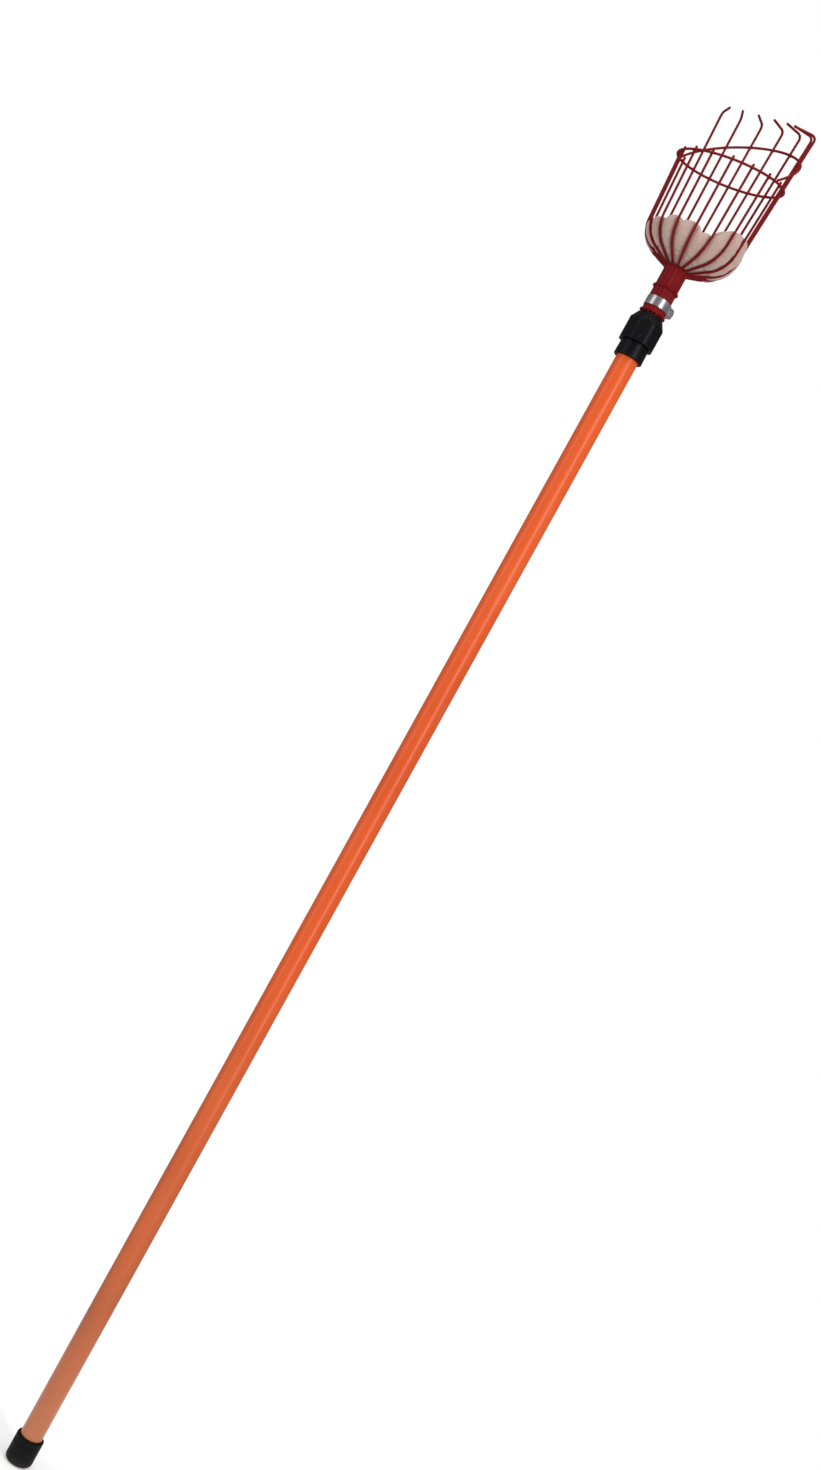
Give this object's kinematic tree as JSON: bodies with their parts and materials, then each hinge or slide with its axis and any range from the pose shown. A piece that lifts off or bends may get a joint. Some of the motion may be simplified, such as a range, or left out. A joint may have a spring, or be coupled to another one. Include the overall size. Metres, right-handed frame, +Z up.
{
  "type": "fruit picker",
  "caption": "Wire basket with hooked tines and a foam cushion, held by a worm-drive clamp on a telescopic twist-lock pole.",
  "frame": {"origin": "centre of the butt cap's flat end", "axes": "+Z up the pole to the basket, +Y towards the middle hooked tine"},
  "size_m": [0.1259, 0.1281, 1.6831],
  "materials": {
    "orange_tube": "gloss paint, browner and mottled towards the butt",
    "black_rubber": "matt moulded rubber",
    "black_plastic": "satin moulded plastic",
    "grey_plastic": "plain moulded plastic",
    "bare_aluminium": "drawn tube",
    "red_wire": "dark red dipped coating over steel wire",
    "clamp_steel": "bright rolled steel",
    "foam": "open-cell foam with a pink-beige tint"
  },
  "bodies": {
    "outer_pole": {"outer_tube": "orange_tube", "butt_cap": "black_rubber", "lock_body": "black_plastic", "lock_collet": "grey_plastic"},
    "lock_nut": {"lock_nut": "black_plastic"},
    "glide": {"glide_bush": "grey_plastic"},
    "inner_pole": {"inner_tube": "bare_aluminium", "retaining_rings": "clamp_steel", "stop_plug": "grey_plastic", "tip_plug": "grey_plastic"},
    "head": {"tine_01": "red_wire", "tine_02": "red_wire", "tine_03": "red_wire", "tine_04": "red_wire", "tine_05": "red_wire", "tine_06": "red_wire", "tine_07": "red_wire", "tine_08": "red_wire", "tine_09": "red_wire", "tine_10": "red_wire", "tine_11": "red_wire", "tine_12": "red_wire", "tine_13": "red_wire", "tine_14": "red_wire", "tine_15": "red_wire", "tine_16": "red_wire", "neck_socket": "red_wire", "rim_ring": "red_wire", "brace_ring": "red_wire", "neck_ring_upper": "red_wire", "neck_ring_lower": "red_wire", "cushion": "foam", "clamp_band": "clamp_steel", "clamp_housing": "clamp_steel"},
    "clamp_screw": {"clamp_screw": "clamp_steel"}
  },
  "joints": [
    {"name": "lock_nut_turn", "type": "hinge", "parent": "outer_pole", "child": "lock_nut", "pos_m": [0, 0, 1.39], "axis": [0, 0, 1], "range_deg": [0, 120]},
    {"name": "pole_extend", "type": "slide", "parent": "outer_pole", "child": "glide", "axis": [0, 0, 1], "range_m": [0, 1.1]},
    {"name": "pole_turn", "type": "hinge", "parent": "glide", "child": "inner_pole", "pos_m": [0, 0, 0.26], "axis": [0, 0, 1], "continuous": true},
    {"name": "head_pull_off", "type": "slide", "parent": "inner_pole", "child": "head", "axis": [0, 0, 1], "range_m": [0, 0.075]},
    {"name": "clamp_screw_turn", "type": "hinge", "parent": "head", "child": "clamp_screw", "pos_m": [0.00748, 0.01604, 1.4287], "axis": [0.9063, -0.4226, 0], "continuous": true}
  ]
}
